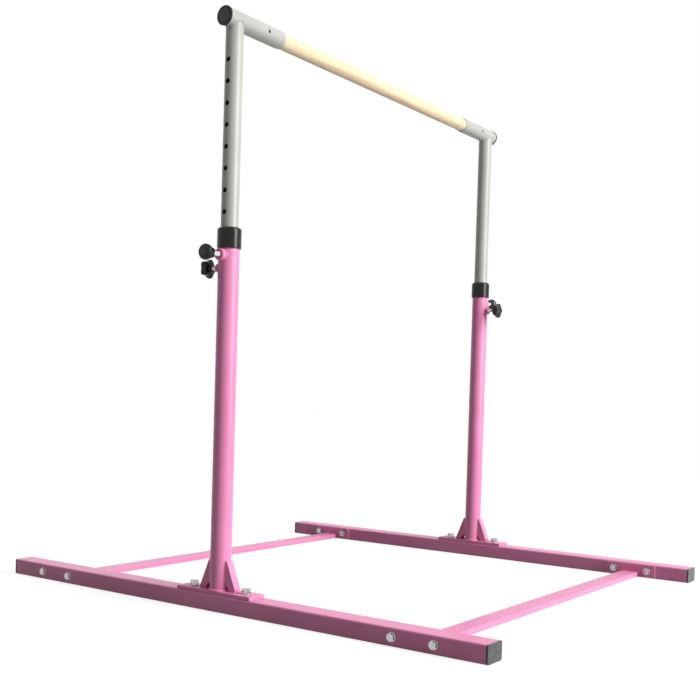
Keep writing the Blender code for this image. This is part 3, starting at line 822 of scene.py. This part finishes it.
def set_screw(side):
    """Headless screw with a round recess, from just off the wood to just under the surface."""
    tip = half_size("wood_bar").z + SEAT_GAP
    end = SOCKET_RADIUS - SET_SCREW_SUNK
    radius = half_size(f"set_screw_{side}").x
    recess = (end + tip) / 2
    profile = [
        (0, recess),
        (SET_SCREW_KEY, recess),
        (SET_SCREW_KEY, end),
        (radius, end),
        (radius, tip),
        (0, tip),
    ]
    centre = (middle(f"set_screw_{side}").x, 0, BAR_Z)
    rings = soften(profile, SET_SCREW_ROUNDING)
    screw = turned(f"grub_screw_{side}", rings, (0, -1, 0), centre, SMALL_ROUND)
    dress(screw, "bar_frame", "oxide", f"set_screw_{side}")


def socket_cap(side, sign):
    """Plug in the socket's end, with a shallow dish and a grey disc in it."""
    axis = (sign, 0, 0)
    centre = (sign * UPRIGHT_X, 0, BAR_Z)
    plug, face = outward(f"socket_cap_{side}", axis)
    base = outward(f"bar_socket_{side}", axis)[1] + SEAT_GAP
    radius = half_size(f"socket_cap_{side}").z
    plug_radius = SOCKET_BORE - CAP_PLUG_PLAY
    dish = radius - CAP_DISH_INSET
    profile = [
        (0, face - CAP_DISH),
        (dish, face - CAP_DISH),
        (dish + CAP_DISH_SLOPE, face),
        (radius - CAP_CHAMFER_IN, face),
        (radius, face - CAP_CHAMFER_DOWN),
        (radius, base),
        (plug_radius, base),
        (plug_radius, plug),
        (0, plug),
    ]
    cap = turned(f"end_cap_{side}", soften(profile, CAP_ROUNDING), axis, centre)
    dress(cap, "bar_frame", "black", f"socket_cap_{side}")
    profile = [
        (0, face - CAP_DISC_CROWN),
        (dish - CAP_DISC_INSET, face - CAP_DISC_EDGE),
        (dish - CAP_DISC_FOOT, face - CAP_DISH),
        (0, face - CAP_DISC_DEPTH),
    ]
    disc = turned(f"cap_disc_{side}", soften(profile, DISC_ROUNDING), axis, centre)
    dress(disc, "bar_frame", "grey")


def wood_bar():
    half = half_size("wood_bar")
    profile = [(0, half.x), (half.z, half.x), (half.z, -half.x), (0, -half.x)]
    piece = turned("wooden_rail", soften(profile, WOOD_ROUNDING), (1, 0, 0), (0, 0, BAR_Z))
    dress(piece, "bar_frame", "wood", "wood_bar")


def pull_pin(side, sign):
    """Chrome barrel and steel plunger, measured outward from the tube's centre."""
    axis = (sign, 0, 0)
    centre = (sign * UPRIGHT_X, 0, PIN_Z)
    start, end = outward(f"pin_barrel_{side}", axis)
    barrel = half_size(f"pin_barrel_{side}").z
    bore = PIN_HOLE / 2
    profile = [(barrel - inset, end - depth) for inset, depth in BARREL_GROOVE]
    profile += [(barrel, start), (bore, start), (bore, end)]
    rings = soften(profile, BARREL_ROUNDING, closed=True)
    piece = turned(f"barrel_{side}", rings, axis, centre, closed=True)
    dress(piece, "floor_frame", "chrome", f"pin_barrel_{side}")

    start, end = outward(f"pull_pin_{side}", axis)
    pin = PIN_DIAMETER / 2
    profile = [
        (0, end),
        (pin, end),
        (pin, start + PIN_CHAMFER),
        (pin - PIN_CHAMFER, start),
        (0, start),
    ]
    rings = soften(profile, PIN_ROUNDING)
    piece = turned(f"plunger_{side}", rings, axis, centre, SMALL_ROUND)
    dress(piece, f"pin_{side}", "zinc", f"pull_pin_{side}")


def pin_knob(side, sign):
    """Round knob with a ribbed rim and a grey disc, on the plunger's end."""
    axis = (sign, 0, 0)
    centre = (sign * UPRIGHT_X, 0, PIN_Z)
    back, face = outward(f"pin_knob_{side}", axis)
    radius = half_size(f"pin_knob_{side}").z
    floor_height = outward(f"pull_pin_{side}", axis)[1] + SEAT_GAP
    profile = [(0, face - KNOB_RIM[0][1])]
    profile += [(radius - inset, face - depth) for inset, depth in KNOB_RIM]
    profile += [
        (radius - KNOB_BACK_INSET, back),
        (KNOB_BORE, back),
        (KNOB_BORE, floor_height),
        (0, floor_height),
    ]

    def grip(angle, r, h):
        band = max(0.0, 1 - abs(h - (face - GRIP_MIDDLE)) / GRIP_HALF)
        if r < radius - GRIP_EDGE:
            band = 0.0
        return r - GRIP_DEPTH * band * (0.5 + 0.5 * math.cos(GRIP_RIBS * angle)), h

    rings = soften(profile, KNOB_ROUNDING)
    knob = turned(f"pull_knob_{side}", rings, axis, centre, KNOB_ROUND, grip)
    dress(knob, f"pin_{side}", "black", f"pin_knob_{side}")
    disc = radius - KNOB_DISC_INSET
    profile = [(disc * share, face - depth) for share, depth in KNOB_DISC_INNER + KNOB_DISC_OUTER]
    piece = turned(f"pull_knob_disc_{side}", soften(profile, DISC_ROUNDING), axis, centre)
    dress(piece, f"pin_{side}", "grey")


def clamp(side, sign):
    """Screw that presses a small pad on the sliding tube."""
    axis = (0, -sign, 0)
    centre = (sign * UPRIGHT_X, 0, CLAMP_Z)
    tip, back = outward(f"clamp_pad_{side}", axis)
    profile = [(0, back), (PAD_RADIUS, back), (PAD_RADIUS, tip), (0, tip)]
    piece = turned(f"pad_{side}", soften(profile, PAD_ROUNDING), axis, centre, SMALL_ROUND)
    dress(piece, f"pad_{side}", "zinc", f"clamp_pad_{side}")

    start, end = outward(f"clamp_screw_{side}", axis)
    thread = thread_profile(M10.shank / 2, M10.pitch, start, end)
    twist = thread_bend(M10.pitch, CLAMP_THREAD_DEPTH, start, end)
    piece = turned(f"screw_{side}", thread, axis, centre, SMALL_ROUND, twist)
    dress(piece, f"clamp_{side}", "zinc", f"clamp_screw_{side}")


def star_knob(side, sign):
    """Knob with five lobes and a neck, on the clamp screw's end."""
    axis = (0, -sign, 0)
    centre = (sign * UPRIGHT_X, 0, CLAMP_Z)
    neck_start, face = outward(f"star_knob_{side}", axis)
    back = face - STAR_HEIGHT
    edge_radius, edge_rise = STAR_BACK_EDGE
    profile = [(radius, face - depth) for radius, depth in STAR_DISH]
    profile += [(STAR_REACH - inset, face - depth) for inset, depth in STAR_RIM]
    profile += [(STAR_REACH - inset, back + rise) for inset, rise in STAR_BACK_RIM]
    profile += [
        (edge_radius, back + edge_rise),
        (STAR_NECK, back - STAR_NECK_DROP),
        (STAR_NECK, neck_start),
        (0, neck_start),
    ]

    def lobes(angle, r, h):
        share = max(0.0, min(1.0, (r - STAR_NECK) / (STAR_REACH - STAR_NECK)))
        valley = (0.5 - 0.5 * math.cos(STAR_LOBES * angle)) ** STAR_VALLEY_POWER
        return r * (1 - (1 - STAR_WAIST) * valley * share), h

    rings = soften(profile, STAR_ROUNDING, steps=STAR_ROUNDING_STEPS)
    knob = turned(f"star_grip_{side}", rings, axis, centre, STAR_ROUND, lobes)
    dress(knob, f"clamp_{side}", "black", f"star_knob_{side}")


def plate_bolts(side, sign):
    low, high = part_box(f"base_rail_{side}")
    face = max(abs(low.x), abs(high.x)) + SEAT_GAP
    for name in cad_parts:
        if not name.startswith(f"plate_bolt_{side}"):
            continue
        low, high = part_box(name)
        nut_end, head_top = sorted((abs(low.x), abs(high.x)))
        centre = (0, middle(name).y, middle(name).z)
        bolt(name, M10, (head_top, face, nut_end), (sign, 0, 0), centre)


def foot_bolts(side):
    for end in ENDS:
        name = f"foot_bolt_{side}_{end}"
        low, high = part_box(name)
        centre = (middle(name).x, middle(name).y, 0)
        bolt(name, M12, (high.z, FLANGE_TOP + SEAT_GAP, low.z), UP, centre)


soft_edges()
for side_name, side_sign in SIDES.items():
    lower_post(side_name, side_sign)
    gusset_welds(side_name, side_sign)
    for end_name in ENDS:
        cross_weld(side_name, side_sign, end_name)
    boss(side_name, "pin_boss", BARREL_BORE, (side_sign, 0, 0), PIN_Z)
    boss(side_name, "clamp_boss", CLAMP_HOLE, (0, -side_sign, 0), CLAMP_Z)
    collar(side_name, side_sign * UPRIGHT_X)
    upper_tube(side_name, side_sign)
    bar_socket(side_name, side_sign)
    set_screw(side_name)
    socket_cap(side_name, side_sign)
    pull_pin(side_name, side_sign)
    pin_knob(side_name, side_sign)
    clamp(side_name, side_sign)
    star_knob(side_name, side_sign)
    plate_bolts(side_name, side_sign)
    foot_bolts(side_name)
wood_bar()


# Floor, light and camera

FLOOR_HALF = 30
FLOOR_DROP = 0.0002
FLOOR_LIT = 0.30
FLOOR_SHADOWED = 0.95
FLOOR_WHITE = 1.06
FLOOR_WHITE_SHARE = 0.80
WORLD_FILL = 0.15
WORLD_WHITE = 1.0

# Camera: position, direction in radians, and focal length and optical centre in pixels
FRAME_SIZE = (700, 676)
FOCAL = 1048.2
OPTICAL_CENTRE = (332.2, 423.2)
CAMERA_PLACE = (-2.4606, -1.6433, 0.5141)
AZIMUTH, ELEVATION, ROLL = 0.62634, -0.02729, 0.02955
SENSOR_WIDTH = 36
CLIP_NEAR, CLIP_FAR = 0.05, 200


def seen_directly(tree):
    """1 for camera, glossy and transmission rays, and 0 for the rest."""
    path = tree.nodes.new("ShaderNodeLightPath")
    total = path.outputs["Is Camera Ray"]
    for ray in ("Is Glossy Ray", "Is Transmission Ray"):
        either = tree.nodes.new("ShaderNodeMath")
        either.operation = "MAXIMUM"
        tree.links.new(total, either.inputs[0])
        tree.links.new(path.outputs[ray], either.inputs[1])
        total = either.outputs[0]
    return total


def mixed(tree, factor, first, second):
    """Mix of two shaders, by a number or by another node's output."""
    mix = tree.nodes.new("ShaderNodeMixShader")
    if isinstance(factor, float):
        mix.inputs[0].default_value = factor
    else:
        tree.links.new(factor, mix.inputs[0])
    tree.links.new(first.outputs[0], mix.inputs[1])
    tree.links.new(second.outputs[0], mix.inputs[2])
    return mix


def matte(tree, level):
    shader = tree.nodes.new("ShaderNodeBsdfDiffuse")
    shader.inputs["Color"].default_value = (level, level, level, 1)
    return shader


def sky(tree, strength):
    shader = tree.nodes.new("ShaderNodeBackground")
    shader.inputs["Color"].default_value = (1, 1, 1, 1)
    shader.inputs["Strength"].default_value = strength
    return shader


def floor():
    """Plain floor that reads as white beside the object and keeps its shadow."""
    shape = bmesh.new()
    bmesh.ops.create_grid(shape, x_segments=1, y_segments=1, size=FLOOR_HALF)
    plane = mesh_object("floor", shape)
    plane.location.z = -FLOOR_DROP
    material = bpy.data.materials.new("pale_floor")
    material.use_nodes = True
    tree = material.node_tree
    tree.nodes.clear()
    output = tree.nodes.new("ShaderNodeOutputMaterial")
    white = tree.nodes.new("ShaderNodeEmission")
    white.inputs["Strength"].default_value = FLOOR_WHITE
    seen = mixed(tree, FLOOR_WHITE_SHARE, matte(tree, FLOOR_SHADOWED), white)
    surface = mixed(tree, seen_directly(tree), matte(tree, FLOOR_LIT), seen)
    tree.links.new(surface.outputs[0], output.inputs["Surface"])
    plane.data.materials.append(material)


def world_light():
    """White to the eye and in reflections, and a weak fill for the rest."""
    world = bpy.data.worlds.new("studio")
    bpy.context.scene.world = world
    world.use_nodes = True
    tree = world.node_tree
    tree.nodes.clear()
    output = tree.nodes.new("ShaderNodeOutputWorld")
    surface = mixed(tree, seen_directly(tree), sky(tree, WORLD_FILL), sky(tree, WORLD_WHITE))
    tree.links.new(surface.outputs[0], output.inputs["Surface"])


def lamp(light, towards, place=(0, 0, 0)):
    """Lamp at a place, whose light comes from the given direction."""
    obj = scene_object(light.name, light)
    obj.location = place
    obj.rotation_euler = Vector(towards).to_track_quat("Z", "Y").to_euler()
    return obj


def sun(name, energy, spread, towards):
    light = bpy.data.lights.new(name, "SUN")
    light.energy = energy
    light.angle = math.radians(spread)
    return lamp(light, towards)


def softbox(power, width, height, place, target):
    light = bpy.data.lights.new("softbox", "AREA")
    light.shape = "RECTANGLE"
    light.size = width
    light.size_y = height
    light.energy = power
    return lamp(light, Vector(place) - Vector(target), place)


def lights():
    """Broad soft key and a tall softbox from the -Y side, and a soft light from behind."""
    sun("key", energy=2.4, spread=24, towards=(0.12, -0.99, 0.80))
    back = sun("back", energy=1.2, spread=40, towards=(0.45, 0.95, 0.45))
    back.visible_glossy = False
    softbox(power=165, width=2.0, height=2.6, place=(0.6, -4.2, 1.5), target=(0, 0, 0.7))


def camera():
    """Camera at knee height off the front left corner, turned to +X and +Y."""
    width, height = FRAME_SIZE
    data = bpy.data.cameras.new("camera")
    data.sensor_width = SENSOR_WIDTH
    data.lens = FOCAL * data.sensor_width / width
    data.shift_x = (width / 2 - OPTICAL_CENTRE[0]) / width
    data.shift_y = (OPTICAL_CENTRE[1] - height / 2) / width
    data.clip_start = CLIP_NEAR
    data.clip_end = CLIP_FAR
    flat = math.cos(ELEVATION)
    forward = Vector((math.cos(AZIMUTH) * flat, math.sin(AZIMUTH) * flat, math.sin(ELEVATION)))
    level = Vector((math.sin(AZIMUTH), -math.cos(AZIMUTH), 0))
    right = math.cos(ROLL) * level + math.sin(ROLL) * level.cross(forward)
    turn = Matrix((right, right.cross(forward), -forward)).transposed().to_4x4()
    obj = scene_object("camera", data)
    obj.matrix_world = Matrix.Translation(CAMERA_PLACE) @ turn
    bpy.context.scene.camera = obj


floor()
world_light()
lights()
camera()
bpy.context.scene.view_settings.view_transform = "Standard"
